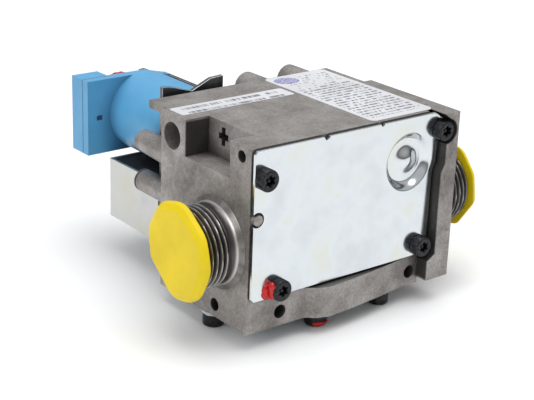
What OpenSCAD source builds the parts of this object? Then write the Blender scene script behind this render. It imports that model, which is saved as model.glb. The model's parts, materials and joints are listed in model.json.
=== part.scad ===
// Boiler gas valve: a die-cast body with two threaded gas connections in line, a sheet-steel front
// cover, a bottom cover that holds the main diaphragm, and a safety coil and a modulating coil behind.
// +X runs along the gas pipe from inlet to outlet, +Y from the front cover to the coils, +Z is up.
// The origin is the centre of the inlet's open end.

/* [Body] */
// Width of the casting from the inlet face to the outlet flange's face
body_w = 81.5; // [80:0.5:84]
// Depth of the left wall
wall_d = 47; // [46:0.5:49]
// Depth of the casting to the face that carries the coils
body_d = 58; // [57.5:0.5:59]
// Height of the casting
body_h = 60.4; // [60:0.2:62]
// Thickness of the outlet flange
flange_t = 6.5; // [5.5:0.5:6.5]
// How far the outlet flange stands in front of the front face
flange_front = 5.1; // [4:0.1:5.5]

/* [Gas connections] */
// Distance of the pipe axis behind the front face
pipe_y = 16.8; // [16.6:0.1:17.2]
// Height of the pipe axis above the bottom face
pipe_z = 25.5; // [25:0.1:26]
// Outer diameter of the G 3/4 thread
thread_d = 26.44; // [26.2:0.01:26.44]
// Length of each threaded end
thread_l = 13; // [12:0.5:15]
// Length of the plain neck between the outlet flange and its thread
outlet_neck = 4.5; // [3:0.5:5]
// Bore of each threaded end
port_d = 20; // [19:0.5:20.5]
// Diameter of the transit caps
cap_d = 32; // [30:0.5:34]
// Thickness of the transit caps
cap_t = 2.8; // [2.4:0.1:3.4]

/* [Covers] */
// Thickness of the front cover
cover_t = 1; // [0.8:0.1:1.2]
// Thickness of the gaskets
gasket_t = 0.5; // [0.3:0.1:0.6]
// Radius of the pressed dish in the front cover
dish_r = 10.1; // [9:0.1:10.4]
// Depth of the pressed dish
dish_depth = 2.4; // [1.8:0.1:2.6]
// Diameter of the screw heads
head_d = 7; // [6.6:0.1:7.2]
// Height of the bottom screws' heads, which the valve stands on
head_h = 4.4; // [4:0.1:4.6]
// Height of the cover screws' heads
cover_head_h = 3.3; // [3:0.1:4.4]
// Diameter of the screw threads
screw_d = 4; // [3.9:0.1:4.1]

/* [Coils] */
// Outer diameter of the safety coil
coil_d = 28.4; // [28:0.1:28.8]
// Length of the safety coil's round part
coil_l = 31.5; // [31:0.5:31.5]
// Thickness of the coil bracket's steel sheet
bracket_t = 1.5; // [1.2:0.1:1.5]
// Diameter of the safety plunger
plunger_d = 10.1; // [9.5:0.1:10.1]
// Stroke of the safety plunger
plunger_stroke = 2.3; // [1.5:0.1:2.3]
// Width of the modulating coil's steel frame
mod_w = 25; // [24:0.5:25]
// Height of the modulating coil's steel frame
mod_h = 21.8; // [20:0.2:21.8]
// Length of the modulating coil's steel frame
mod_l = 30.5; // [30:0.5:31]
// Diameter of the modulating plunger
mod_plunger_d = 8; // [7:0.1:8]

/* [Main valve] */
// Outer diameter of the main diaphragm
diaphragm_d = 36.6; // [36:0.2:37.6]
// Diameter of the main valve's rubber disc
main_disc_d = 18; // [17.5:0.5:19]

/* [Hidden] */
$fn = 64;

// Radial gap of a thread, a press fit or a sliding fit
fit = 0.05;
// A cut runs this far past the face that it opens
past = 1;

cast = "#948b84";
zinc = "#c9ccd0";
black = "#26272a";
blue = "#4a97cc";
yellow = "#ecd21f";

// Where the body's faces and the round parts' axes lie, from the body's front left bottom corner
port_r = port_d / 2;
flange_x = body_w - flange_t;
outlet_end = body_w + outlet_neck + thread_l;
front_r = 72.5;
rear_l = 7;
rear_r = 78;
cover_y = -gasket_t - cover_t;
bottom_z = -gasket_t - cover_t;
safety_x = 24.5;
safety_z = 44.3;
mod_x = 21.5;
mod_z = 18.6;
main_x = 50;
main_y = 28;
nipple_r = 5;
nipple_x = [51.4, 70.3];
nipple_z = 55;
nipple_end = 70;
pillar_end = 65.5;
// Across, height, radius at the wall and radius at the end
pillars = [[4.9, 44.5, 4.7, 3.6], [4.9, 30.5, 4, 3.8]];
dish_at = [63.4, 45.2];
cover_screw_at = [[3.7, 51.2], [76.5, 54.1], [70, 14.9], [10.3, 14.1]];
bottom_screw_at = [[4.1, 22.6], [31.7, 4.4], [60, 5.2], [70.6, 28], [18, 53.5], [62, 53.5]];
front_hole_at = [[13.1, 4.8], [68.5, 4.8]];
front_hole_r = 2.3;
bracket_y = 60.5;
coil_y = bracket_y + bracket_t + 0.1;
block_y = coil_y + coil_l + 0.6;
block_l = 10.4;
bracket_back = block_y + block_l + 0.3;
mod_back = bracket_y + bracket_t + mod_l;

// Moves a shape from the body's corner to the part's own frame
module in_frame() translate([thread_l, -pipe_y, -pipe_z]) children();

// Cylinders along each axis, from a point at their start
module along_x(at, r, l) translate(at) rotate([0, 90, 0]) cylinder(r = r, h = l);
module along_y(at, r, l) translate(at) rotate([-90, 0, 0]) cylinder(r = r, h = l);
module along_z(at, r, l) translate(at) cylinder(r = r, h = l);

// A tube along Y
module tube_y(at, r_out, r_in, l) difference() {
    along_y(at, r_out, l);
    along_y(at - [0, past, 0], r_in, l + 2 * past);
}

// An outline in X and Z, given thickness t behind y
module sheet_xz(y, t) translate([0, y + t, 0]) rotate([90, 0, 0]) linear_extrude(t) children();

// A box between two corners
module block(low, high) translate(low) cube(high - low);

// A socket screw along +Z with its head's top at the origin: the head is round the shank's far end
module screw(head, shank) difference() {
    union() {
        cylinder(d = head_d, h = head);
        translate([0, 0, head]) cylinder(d = screw_d, h = shank);
    }
    translate([0, 0, -past]) cylinder(d = 3.4, h = past + 2.4, $fn = 6);
}

// An open coil spring along +Z: a round wire swept along a helix
function spring_point(r, wire, pitch, turn, side) =
    [for (a = 360 * turn, b = 45 * side)
        [(r + wire * cos(b)) * cos(a), (r + wire * cos(b)) * sin(a), pitch * turn + wire * sin(b)]][0];
module spring(r, wire, l, turns) {
    rings = 16 * turns;
    pitch = (l - 2 * wire) / turns;
    points = [for (i = [0:rings], k = [0:7]) spring_point(r, wire, pitch, i / 16, k)];
    sides = [for (i = [0:rings - 1], k = [0:7])
        [8 * i + k, 8 * i + (k + 1) % 8, 8 * i + 8 + (k + 1) % 8, 8 * i + 8 + k]];
    ends = [[for (k = [7:-1:0]) k], [for (k = [0:7]) 8 * rings + k]];
    translate([0, 0, wire]) polyhedron(points, concat(sides, ends));
}

// Casting: outside shape
module flange_outline() polygon([
    [flange_x - 3.3, 2.5], [flange_x - 3.3, 9.4], [flange_x, 11.4], [flange_x, 40], [flange_x + 1.6, 43],
    [flange_x + 1.6, 50], [flange_x + 4.2, 57.2], [flange_x - 0.2, 60.3], [body_w, 60.3], [body_w, 2.5]]);
module casting() {
    block([0, 0, 0], [front_r, wall_d, body_h]);
    block([rear_l, wall_d - 1, 0], [front_r, body_d, body_h - 2.6]);
    block([2.6, wall_d - 1, body_h - 2.6], [rear_r, body_d, body_h]);
    block([front_r - 1, 6, 2.5], [rear_r, body_d, body_h]);
    along_y([cover_screw_at[1][0], 0, cover_screw_at[1][1]], 4.1, 7);
    sheet_xz(-flange_front, flange_front + 38) flange_outline();
    linear_extrude(10.4) polygon([[22.9, 1], [22.9, 0], [26.4, -2.7], [30.4, -4], [42, -3.2], [54.6, -1.7],
        [66, 0], [66, 1]]);
    along_y([1.9, -1.9, 38.2], 1.7, 2);
    for (p = pillars) translate([p[0], wall_d - 1, p[1]]) rotate([-90, 0, 0]) {
        cylinder(r1 = p[2], r2 = p[3], h = pillar_end - wall_d + 0.2);
        cylinder(r = p[3] - 0.8, h = pillar_end - wall_d + 1);
    }
    for (x = nipple_x) along_y([x, body_d - 1, nipple_z], nipple_r, nipple_end - body_d + 1);
    along_x([-thread_l, pipe_y, pipe_z], thread_d / 2, thread_l + 1);
    along_x([body_w - 1, pipe_y, pipe_z], thread_d / 2, outlet_end - body_w + 1);
    along_x([body_w - 1, pipe_y, pipe_z], 14.2, outlet_neck + 1);
}

// Casting: gas ways, in the order in which the gas passes them
module gas_ways() {
    along_x([-thread_l - past, pipe_y, pipe_z], port_r, thread_l + 32 + past);
    along_z([safety_x, pipe_y, pipe_z], 4.2, safety_z - pipe_z);
    along_y([safety_x, pipe_y - 5.5, safety_z], 4.9, 29);
    along_y([safety_x, 38, safety_z], 8, body_d - 38 + past);
    along_x([safety_x, 46, safety_z], 3.5, main_x + 4.2 - safety_x);
    along_z([main_x, 46, 26.5], 3.1, safety_z - 26.5);
    along_y([main_x, main_y, 31.2], 3.4, 50 - main_y);
    along_z([main_x, main_y, 17], 11, 18);
    along_z([main_x, main_y, 9.5], 8.2, 8);
    block([main_x, pipe_y - 4.6, 11], [main_x + 18, main_y - 1, 16.4]);
    along_x([main_x + 13.5, pipe_y, pipe_z], port_r, outlet_end - main_x - 13.5 + past);
    along_z([main_x, main_y, -past], 17, 7 + past);
    along_y([mod_x, 44, mod_z], 7, body_d - 44 + past);
    along_y([mod_x, 19, mod_z], 2, 26);
}

// Casting: drilled holes, the front chamber and the corner pocket
module hollows() {
    block([-past, 10.4, 48.5], [9, 33.8, body_h + past]);
    block([8, 24.9, 52.6], [13, 26.9, 58.6]);
    block([8, 23.4, 54.6], [13, 28.4, 56.6]);
    along_x([-past, 40.9, 53.4], 4.5, 12 + past);
    along_x([-past, 4.6, 57], 1.9, 6 + past);
    along_x([-past, 16.6, 4.2], 2.15, 8 + past);
    block([8, -past, 20], [50, 5, 48]);
    along_y([dish_at[0], -past, dish_at[1]], dish_r + 0.6, 4 + past);
    for (p = front_hole_at) along_y([p[0], -past, p[1]], front_hole_r, 10 + past);
    for (p = cover_screw_at) along_y([p[0], -past, p[1]], screw_d / 2 + fit, 9 + past);
    for (p = bottom_screw_at) along_z([p[0], p[1], -past], screw_d / 2 + fit, 8 + past);
    along_y([cover_screw_at[1][0], -flange_front - past, cover_screw_at[1][1]], 4.3, flange_front + past);
    along_z([main_x, main_y, 6], 2 + fit, 5);
    for (x = nipple_x) {
        along_y([x, body_d - 12, nipple_z], 1.5, 24);
        along_y([x, nipple_end - 9, nipple_z], 2.5 + fit, 9 + past);
    }
    for (p = pillars) along_y([p[0], pillar_end - 8, p[1]], 1.65, 8 + past);
    tube_y([pillars[1][0], pillar_end - 1.8, pillars[1][1]], 5, 3.5, 0.6);
}

module valve_body() color(cast) in_frame() difference() {
    casting();
    gas_ways();
    hollows();
}

// Front cover: outline with ears round the screws, the locating notch and the pressed dish
module cover_outline() difference() {
    polygon([[1.4, 11.3], [69, 11.3], [73, 12.8], [74.2, 16], [74.2, 40], [75.6, 43], [75.8, 50.4],
        [78.6, 52], [79.4, 54.6], [77.6, 57.7], [74.2, 60], [1.4, 60], [0.4, 59], [0.4, 12.3]]);
    translate([1.9, 38.2]) circle(r = 2.4);
    translate([28, 60]) circle(r = 1.1);
    translate([51, 60]) circle(r = 0.8);
    for (p = cover_screw_at) translate(p) circle(d = screw_d + 0.5);
}
module dish() translate([dish_at[0], cover_y, dish_at[1]]) rotate([-90, 0, 0]) rotate_extrude() polygon([
    [0, 0.4], [1.6, 0.6], [4.2, dish_depth], [7.2, dish_depth], [dish_r - 0.8, 0.3], [dish_r, 0],
    [dish_r + 0.2, 0], [dish_r + 0.2, cover_t], [dish_r - 0.4, cover_t + 0.5], [7.7, dish_depth + cover_t],
    [3.6, dish_depth + cover_t], [1.2, 0.6 + cover_t], [0, 0.4 + cover_t]]);

module front_cover() color(zinc) in_frame() {
    difference() {
        sheet_xz(cover_y, cover_t) cover_outline();
        along_y([dish_at[0], cover_y - past, dish_at[1]], dish_r, cover_t + 2 * past);
    }
    dish();
}

module front_gasket() color(black) in_frame() difference() {
    sheet_xz(-gasket_t, gasket_t) intersection() {
        cover_outline();
        translate([0.8, 11.6]) square([front_r - 1, 48.6]);
    }
    block([9, -past, 21], [49, past, 47]);
    along_y([dish_at[0], -past, dish_at[1]], dish_r + 0.6, 2 * past);
}

module cover_screws() color(black) in_frame()
    for (p = cover_screw_at) translate([p[0], cover_y - cover_head_h, p[1]]) rotate([-90, 0, 0])
        screw(cover_head_h, 9);

// Bottom cover: a flat sheet with the six screws that the valve stands on
bottom_edge = 3;
module bottom_outline(hole) difference() {
    intersection() {
        union() {
            translate([bottom_edge, bottom_edge])
                square([front_r - 2 * bottom_edge, wall_d - 2 * bottom_edge]);
            translate([rear_l + bottom_edge, wall_d / 2])
                square([front_r - rear_l - 2 * bottom_edge, body_d - bottom_edge - wall_d / 2]);
            for (p = bottom_screw_at) translate(p) circle(r = 4);
        }
        translate([0.4, 0.4]) square([front_r - 0.8, body_d - 0.8]);
    }
    for (p = bottom_screw_at) translate(p) circle(d = hole);
}
module bottom_cover() color(zinc) in_frame() translate([0, 0, bottom_z]) linear_extrude(cover_t)
    bottom_outline(screw_d + 0.4);
module bottom_gasket() color(black) in_frame() translate([0, 0, -gasket_t]) linear_extrude(gasket_t)
    difference() {
        bottom_outline(screw_d + 0.4);
        translate([main_x, main_y]) circle(d = diaphragm_d + 0.4);
    }
module bottom_screws() color(black) in_frame()
    for (p = bottom_screw_at) translate([p[0], p[1], bottom_z - head_h]) screw(head_h, 8);

// Transit caps: a flange that covers the thread's end and a hollow plug in the bore
module transit_cap() difference() {
    union() {
        along_x([-cap_t, 0, 0], cap_d / 2, cap_t);
        along_x([-0.1, 0, 0], port_r - fit, 7.1);
    }
    along_x([0, 0, 0], port_r - 1.4, 7.1 + past);
}
module inlet_cap() color(yellow) in_frame() translate([-thread_l - 0.1, pipe_y, pipe_z]) transit_cap();
module outlet_cap() color(yellow) in_frame() translate([outlet_end + 0.1, pipe_y, pipe_z])
    mirror([1, 0, 0]) transit_cap();

module inlet_strainer() color("silver") in_frame() difference() {
    along_x([-4, pipe_y, pipe_z], port_r - fit, 14);
    along_x([-4 - past, pipe_y, pipe_z], port_r - 0.8, 13.4 + past);
}

// Labels on the top face
label_t = 0.15;
module rating_label() color("white") in_frame()
    block([49, 1.2, body_h], [75.5, body_d - 0.6, body_h + label_t]);
module serial_label() color("white") in_frame()
    block([2, 38, body_h], [47.5, 46, body_h + label_t]);

// Steel bracket of the coils: front plate with two raised ears, a web on the right and a rear plate
bracket_l = 9.5;
bracket_r = safety_x + coil_d / 2 + 1.6;
web_top = 52.8;
module bracket_front() polygon([[bracket_l, 7], [bracket_r, 7], [bracket_r, web_top], [36, 56.5],
    [34.2, 58.6], [34.2, 63.5], [29, 63.2], [21.3, 59.9], [14, 62.2], [bracket_l, 62.9]]);
module bracket_rear() polygon([[12.5, 33], [bracket_r + bracket_t, 33], [bracket_r + bracket_t, web_top],
    [36.3, 53.8], [32.5, 55.5], [30.4, 55.5], [27.5, 52.5], [12.5, 52.5]]);
module coil_bracket() color(zinc) in_frame() difference() {
    union() {
        sheet_xz(bracket_y, bracket_t) bracket_front();
        block([bracket_r, bracket_y, 33], [bracket_r + bracket_t, bracket_back + bracket_t, web_top]);
        sheet_xz(bracket_back, bracket_t) bracket_rear();
        block([bracket_r - 0.1, bracket_y, 7], [bracket_r + bracket_t, bracket_y + bracket_t, web_top]);
    }
    along_y([safety_x, bracket_y - past, safety_z], 6.3, 60);
    along_y([mod_x, bracket_y - past, mod_z], 5.1, 4);
}

// Safety coil: blue moulding with a connector block, its winding and two terminals
socket_at = [1.3, block_y, 31];
block_top = 57.7;
module coil_moulding() {
    along_y([safety_x, coil_y, safety_z], coil_d / 2, coil_l + 0.7);
    sheet_xz(block_y, 4) polygon([[1.3, 31], [35.5, 31], [35.5, 55.6], [27, block_top], [1.3, block_top]]);
    block(socket_at, [11.6, block_y + block_l, block_top]);
    along_y([safety_x, block_y, safety_z], 11, block_l);
}
module safety_coil() color(blue) in_frame() difference() {
    coil_moulding();
    along_y([safety_x, coil_y - past, safety_z], 6.3, 60);
    tube_y([safety_x, coil_y + 3, safety_z], 12.4, 7.5, coil_l - 6);
    block([2.7, block_y + 2.6, 33], [10.2, block_y + block_l + past, 55]);
}
module safety_winding() color("#b8703a") in_frame()
    tube_y([safety_x, coil_y + 3.1, safety_z], 12.3, 7.6, coil_l - 6.2);
module safety_terminals() color("silver") in_frame()
    for (z = [34.8, 51]) block([6, block_y + 2.6, z], [6.8, block_y + 8.4, z + 3]);

// O-rings that seal the two operator tubes against the casting, each in a groove of the tube's collar
ring_wire_r = 0.6;
module o_ring(at, r) translate(at + [0, ring_wire_r + 0.06, 0]) rotate([-90, 0, 0]) rotate_extrude()
    translate([r, 0]) circle(r = ring_wire_r, $fn = 24);
module ring_groove(at, r) tube_y(at - [0, past, 0], r + ring_wire_r + 0.1, r - ring_wire_r - 0.1,
    2 * ring_wire_r + 0.15 + past);

// Safety valve: the operator tube screwed into the casting, with core, plunger, disc and seat
bore_r = plunger_d / 2 + fit;
seat_y = 41;
collar_y = seat_y + 5;
plunger_end = 84;
module safety_tube() color("silver") in_frame() difference() {
    union() {
        along_y([safety_x, body_d - 6, safety_z], 8 - fit, 6.1);
        along_y([safety_x, body_d + 0.05, safety_z], 10, bracket_y - body_d - 0.15);
        along_y([safety_x, bracket_y - 0.2, safety_z], 6.1, bracket_back + bracket_t + 4.4 - bracket_y);
    }
    along_y([safety_x, body_d - 6 - past, safety_z], bore_r, bracket_back - body_d + 6);
    ring_groove([safety_x, body_d, safety_z], 9);
}
module safety_o_ring() color(black) in_frame() o_ring([safety_x, body_d, safety_z], 9);
module safety_core() color("silver") in_frame()
    along_y([safety_x, plunger_end + plunger_stroke + 0.2, safety_z], bore_r - 0.01, 14);
module safety_plunger() color("silver") in_frame() {
    along_y([safety_x, collar_y, safety_z], plunger_d / 2, plunger_end - collar_y);
    along_y([safety_x, collar_y - 1.6, safety_z], 7.4, 1.7);
}
module safety_disc() color(black) in_frame()
    along_y([safety_x, seat_y + 1.02, safety_z], 7, collar_y - 1.6 - seat_y - 1.04);
module safety_seat() color("#b8963e") in_frame() difference() {
    tube_y([safety_x, 38.02, safety_z], 8 - fit, 4.2, seat_y + 1 - 38.02);
    tube_y([safety_x, seat_y, safety_z], 9, 5.4, 2);
}
module safety_spring() color("silver") in_frame() translate([safety_x, collar_y + 0.15, safety_z])
    rotate([-90, 0, 0]) spring(6.4, 0.4, body_d - 6 - collar_y - 0.3, 3.5);

// Red cap that holds the coil on its tube
module coil_cap() color("#b0231c") in_frame() difference() {
    along_y([safety_x, bracket_back + bracket_t + 0.1, safety_z], 9.9, 6);
    along_y([safety_x, bracket_back + bracket_t - past, safety_z], 6.1 + fit, 5.4 + past);
}

// Modulating coil: bent steel frame round a black moulding, winding and terminals
mod_y = bracket_y + bracket_t + 0.1;
mod_l_x = mod_x - mod_w / 2;
mod_b_z = mod_z - mod_h / 2;
module modulator_frame() color(zinc) in_frame() difference() {
    block([mod_l_x, mod_y, mod_b_z], [mod_l_x + mod_w, mod_back, mod_b_z + mod_h]);
    block([mod_l_x + 1, mod_y - past, mod_b_z - past],
        [mod_l_x + mod_w - 1, mod_back - 1.2, mod_b_z + mod_h + past]);
    along_y([mod_x, mod_back - 3, mod_z], 5.1, 5);
}
module modulator_coil() color(black) in_frame() difference() {
    union() {
        block([mod_l_x + 1.1, mod_y + 0.05, mod_b_z + 0.4],
            [mod_l_x + mod_w - 1.1, mod_back - 1.3, mod_b_z + mod_h - 0.4]);
        block([mod_l_x + 16, mod_back - 8, mod_b_z - 3.6],
            [mod_l_x + mod_w - 1.1, mod_back - 1.3, mod_b_z + 1]);
    }
    along_y([mod_x, mod_y - past, mod_z], 5.1, mod_l + 2);
    tube_y([mod_x, mod_y + 3, mod_z], 9, 6.2, mod_l - 7);
}
module modulator_winding() color("#b8703a") in_frame()
    tube_y([mod_x, mod_y + 3.1, mod_z], 8.9, 6.3, mod_l - 7.2);
module modulator_terminals() color("silver") in_frame()
    for (x = [18.2, 21.4]) block([mod_l_x + x - 0.4, mod_back - 5, mod_b_z - 7.4],
        [mod_l_x + x + 0.4, mod_back - 3, mod_b_z - 3.62]);

// Modulating valve: operator tube, plunger with its push rod, pilot disc and seat
mod_bore = mod_plunger_d / 2 + fit;
rod_y = 50;
module modulator_tube() color("silver") in_frame() difference() {
    union() {
        along_y([mod_x, body_d - 5, mod_z], 7 - fit, 5.1);
        along_y([mod_x, body_d + 0.05, mod_z], 9, bracket_y - body_d - 0.15);
        along_y([mod_x, bracket_y - 0.2, mod_z], 4.9, mod_back + 5 - bracket_y);
    }
    along_y([mod_x, body_d - 5 - past, mod_z], mod_bore, 60);
    ring_groove([mod_x, body_d, mod_z], 8);
}
module modulator_o_ring() color(black) in_frame() o_ring([mod_x, body_d, mod_z], 8);
module modulator_plunger() color("silver") in_frame() {
    along_y([mod_x, 60, mod_z], mod_plunger_d / 2, 20);
    along_y([mod_x, rod_y, mod_z], 1.2, 10.1);
}
module pilot_seat() color("#b8963e") in_frame() tube_y([mod_x, 44.02, mod_z], 7 - fit, 1.8, 2.6);
module pilot_disc() color(black) in_frame() along_y([mod_x, 46.7, mod_z], 5.5, rod_y - 46.72);
module modulator_spring() color("silver") in_frame() translate([mod_x, 80.15, mod_z])
    rotate([-90, 0, 0]) spring(2.9, 0.35, 6.2, 4.5);
module modulator_adjuster() color("#b8963e") in_frame() difference() {
    along_y([mod_x, 86.5, mod_z], mod_bore - fit, mod_back - 84);
    translate([mod_x - 3, mod_back + 1.2, mod_z - 0.5]) cube([6, 3, 1]);
}
module modulator_cap() color(black) in_frame() difference() {
    along_y([mod_x, mod_back + 0.1, mod_z], 7.5, 7);
    along_y([mod_x, mod_back - past, mod_z], 4.9 + fit, 6 + past);
}

// Main valve: diaphragm over the bottom cover, plate, stem and disc, a seat ring and its spring
seat_z = 20;
plate_top = 1.5;
module main_seat() color("#b8963e") in_frame() difference() {
    along_z([main_x, main_y, 17.02], 11 - fit, seat_z - 17.02);
    along_z([main_x, main_y, 16], 7.4, 6);
}
module main_valve() color("silver") in_frame() {
    along_z([main_x, main_y, plate_top + 0.02], 2, seat_z + 2 - plate_top);
    along_z([main_x, main_y, seat_z + 1.9], 7, 1);
}
module main_valve_disc() color(black) in_frame() difference() {
    along_z([main_x, main_y, seat_z + 0.02], main_disc_d / 2, 1.86);
    along_z([main_x, main_y, seat_z - past], 2, 5);
}
module diaphragm_plate() color("silver") in_frame() along_z([main_x, main_y, 0.05], 11, plate_top - 0.05);
module main_diaphragm() color(black) in_frame()
    along_z([main_x, main_y, 0.01 - gasket_t], diaphragm_d / 2, gasket_t - 0.02);
module main_spring() color("silver") in_frame() translate([main_x, main_y, seat_z + 3])
    spring(5.5, 0.5, 35 - seat_z - 3.1, 5);

// Sealing screws of the two pressure test nipples
module test_screw() difference() {
    along_y([0, nipple_end - 8, nipple_z], 2.5, 5.5);
    translate([-3, nipple_end - 3.9, nipple_z - 0.4]) cube([6, 3, 0.8]);
}
module inlet_test_screw() color("#b8963e") in_frame() translate([nipple_x[0], 0, 0]) test_screw();
module outlet_test_screw() color("#b8963e") in_frame() translate([nipple_x[1], 0, 0]) test_screw();

valve_body();
front_gasket();
front_cover();
cover_screws();
bottom_gasket();
bottom_cover();
bottom_screws();
inlet_cap();
outlet_cap();
inlet_strainer();
rating_label();
serial_label();
coil_bracket();
safety_coil();
safety_winding();
safety_terminals();
safety_tube();
safety_o_ring();
safety_core();
safety_plunger();
safety_disc();
safety_seat();
safety_spring();
coil_cap();
modulator_frame();
modulator_coil();
modulator_winding();
modulator_terminals();
modulator_tube();
modulator_o_ring();
modulator_plunger();
pilot_disc();
pilot_seat();
modulator_spring();
modulator_adjuster();
modulator_cap();
main_seat();
main_valve();
main_valve_disc();
diaphragm_plate();
main_diaphragm();
main_spring();
inlet_test_screw();
outlet_test_screw();
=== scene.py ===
# %% [markdown]
# # A boiler gas valve
# The valve is a raw die-cast aluminium block with a threaded stub at each end. A bright zinc-plated
# cover closes its front, a thin cover its underside, and two coils stand on its back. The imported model
# already holds every part at its true size, so this lesson only gives the parts their real surfaces.

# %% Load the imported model
import json
import math
import bmesh
import bpy
import numpy as np
from mathutils import Matrix, Vector


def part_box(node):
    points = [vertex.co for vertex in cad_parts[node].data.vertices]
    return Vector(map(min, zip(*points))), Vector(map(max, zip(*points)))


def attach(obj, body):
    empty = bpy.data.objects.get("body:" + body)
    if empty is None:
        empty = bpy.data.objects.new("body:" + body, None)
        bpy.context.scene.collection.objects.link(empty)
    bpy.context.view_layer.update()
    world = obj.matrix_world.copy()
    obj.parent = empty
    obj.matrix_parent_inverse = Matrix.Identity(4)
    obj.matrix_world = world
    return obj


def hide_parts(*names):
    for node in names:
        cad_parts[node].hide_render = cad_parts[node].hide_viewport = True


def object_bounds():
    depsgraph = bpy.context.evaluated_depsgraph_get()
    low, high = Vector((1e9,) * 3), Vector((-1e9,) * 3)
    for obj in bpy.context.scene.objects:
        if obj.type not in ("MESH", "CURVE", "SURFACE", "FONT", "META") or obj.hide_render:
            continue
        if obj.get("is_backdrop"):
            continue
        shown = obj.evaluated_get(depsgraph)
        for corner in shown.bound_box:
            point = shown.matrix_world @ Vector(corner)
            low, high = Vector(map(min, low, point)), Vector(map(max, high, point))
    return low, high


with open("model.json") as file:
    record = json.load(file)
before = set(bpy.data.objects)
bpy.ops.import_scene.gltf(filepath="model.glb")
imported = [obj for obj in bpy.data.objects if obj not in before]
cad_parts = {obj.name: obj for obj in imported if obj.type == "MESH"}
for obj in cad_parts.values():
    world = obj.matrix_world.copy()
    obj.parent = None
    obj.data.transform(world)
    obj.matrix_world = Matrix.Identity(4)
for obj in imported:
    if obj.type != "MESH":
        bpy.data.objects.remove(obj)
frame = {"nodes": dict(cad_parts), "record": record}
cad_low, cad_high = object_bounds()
nodes, record = frame["nodes"], frame["record"]

# %% [markdown]
# ## A corner to measure from
# The model's origin is the mouth of the inlet. A maker measures the casting from its front left bottom
# corner instead, so that corner is worked out from the parts' own boxes, and `at` turns millimetres from
# it into metres in the model.

# %% The casting's corner
mm = 0.001
mounts = {m["name"]: m for m in record["mounts"]}
stub_length = mounts["inlet_thread"]["dims"]["length_mm"] * mm
thread_radius = mounts["inlet_thread"]["dims"]["r_mm"] * mm
corner = Vector((stub_length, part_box("front_gasket")[1].y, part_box("valve_body")[0].z))
outlet_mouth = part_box("valve_body")[1].x
outlet_wall = outlet_mouth - stub_length


def at(x, y, z):
    """The point x, y, z millimetres from the casting's corner, in metres in the model."""
    return corner + Vector((x, y, z)) * mm


print("corner at", [round(c, 4) for c in corner], "outlet's thread starts at", round(outlet_wall, 4))

# %% [markdown]
# ## The camera
# A long lens a few hand spans away keeps the valve's edges nearly parallel. The camera looks down on the
# front left corner. Its direction is given as turn, height and lean, and its matrix is built from those
# three angles.

# %% Camera
camera_data = bpy.data.cameras.new("camera")
camera_data.lens, camera_data.sensor_width = 92.39, 36.0
camera = bpy.data.objects.new("camera", camera_data)
turn, height, lean = math.radians(-38.87), math.radians(20.71), math.radians(2.06)
back = Vector((math.sin(turn) * math.cos(height), -math.cos(turn) * math.cos(height), math.sin(height)))
level = Vector((math.cos(turn), math.sin(turn), 0))
upright = back.cross(level)
right = math.cos(lean) * level + math.sin(lean) * upright
up = math.cos(lean) * upright - math.sin(lean) * level
facing = Matrix((right, up, back)).transposed().to_4x4()
camera.matrix_world = Matrix.Translation(at(-234.33, -298.64, 188.4)) @ facing
bpy.context.collection.objects.link(camera)
bpy.context.scene.camera = camera
print("camera", round((camera.location - at(40, 28, 30)).length, 3), "m from the valve")

# %% [markdown]
# ## Floor and light
# Bright metal shows what stands round it, so the room matters as much as the lamps. A white floor gives
# the front plate its white look. The room itself is bright overhead and dim near the floor, as a studio
# with one big ceiling panel is. That dim ring draws the dark edges in the pressed dish and
# keeps the casting's sides darker than its top.

# %% Floor and studio light
floor_mesh = bpy.data.meshes.new("floor")
reach = 4.0
floor_z = cad_low.z - 0.0002
floor_mesh.from_pydata([(-reach, -reach, floor_z), (reach, -reach, floor_z), (reach, reach, floor_z),
    (-reach, reach, floor_z)], [], [(0, 1, 2, 3)])
floor = bpy.data.objects.new("floor", floor_mesh)
bpy.context.collection.objects.link(floor)
floor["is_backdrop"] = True
floor_paint = bpy.data.materials.new("floor_paint")
floor_paint.use_nodes = True
floor_shader = floor_paint.node_tree.nodes["Principled BSDF"]
floor_shader.inputs["Base Color"].default_value = (0.9, 0.9, 0.9, 1)
floor_shader.inputs["Roughness"].default_value = 0.9
floor_mesh.materials.append(floor_paint)

world = bpy.data.worlds.new("studio")
world.use_nodes = True
room = world.node_tree
direction = room.nodes.new("ShaderNodeTexCoord").outputs["Generated"]
height_of = room.nodes.new("ShaderNodeSeparateXYZ")
room.links.new(direction, height_of.inputs[0])
glow = room.nodes.new("ShaderNodeMapRange")
for key, value in (("From Min", 0.0), ("From Max", 0.42), ("To Min", 0.09), ("To Max", 0.6)):
    glow.inputs[key].default_value = value
room.links.new(height_of.outputs["Z"], glow.inputs["Value"])
room.links.new(glow.outputs["Result"], room.nodes["Background"].inputs["Strength"])
room.nodes["Background"].inputs["Color"].default_value = (0.96, 0.98, 1.0, 1)
bpy.context.scene.world = world
bpy.context.scene.view_settings.view_transform = "Standard"


def lamp(name, place, target, size, power):
    """A square area lamp at place, in metres, that faces target."""
    data = bpy.data.lights.new(name, "AREA")
    data.size, data.energy = size, power
    thing = bpy.data.objects.new(name, data)
    thing.location = place
    thing.rotation_mode = "QUATERNION"
    thing.rotation_quaternion = (Vector(target) - Vector(place)).to_track_quat("-Z", "Y")
    bpy.context.collection.objects.link(thing)


middle = at(38, 35, 28)
lamp("window", middle + Vector((-1.0, -0.25, 0.7)), middle, 0.7, 4.6)
lamp("overhead", middle + Vector((0.15, -0.1, 1.3)), middle, 1.3, 15.0)
print("two lamps round", [round(c, 3) for c in middle])

# %% [markdown]
# ## Helpers for finishes
# Every finish is a small tree of nodes round one shader. Clouds of noise in the part's own coordinates
# give stains, grain and dents their true size in millimetres, and no picture is needed.

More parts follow.
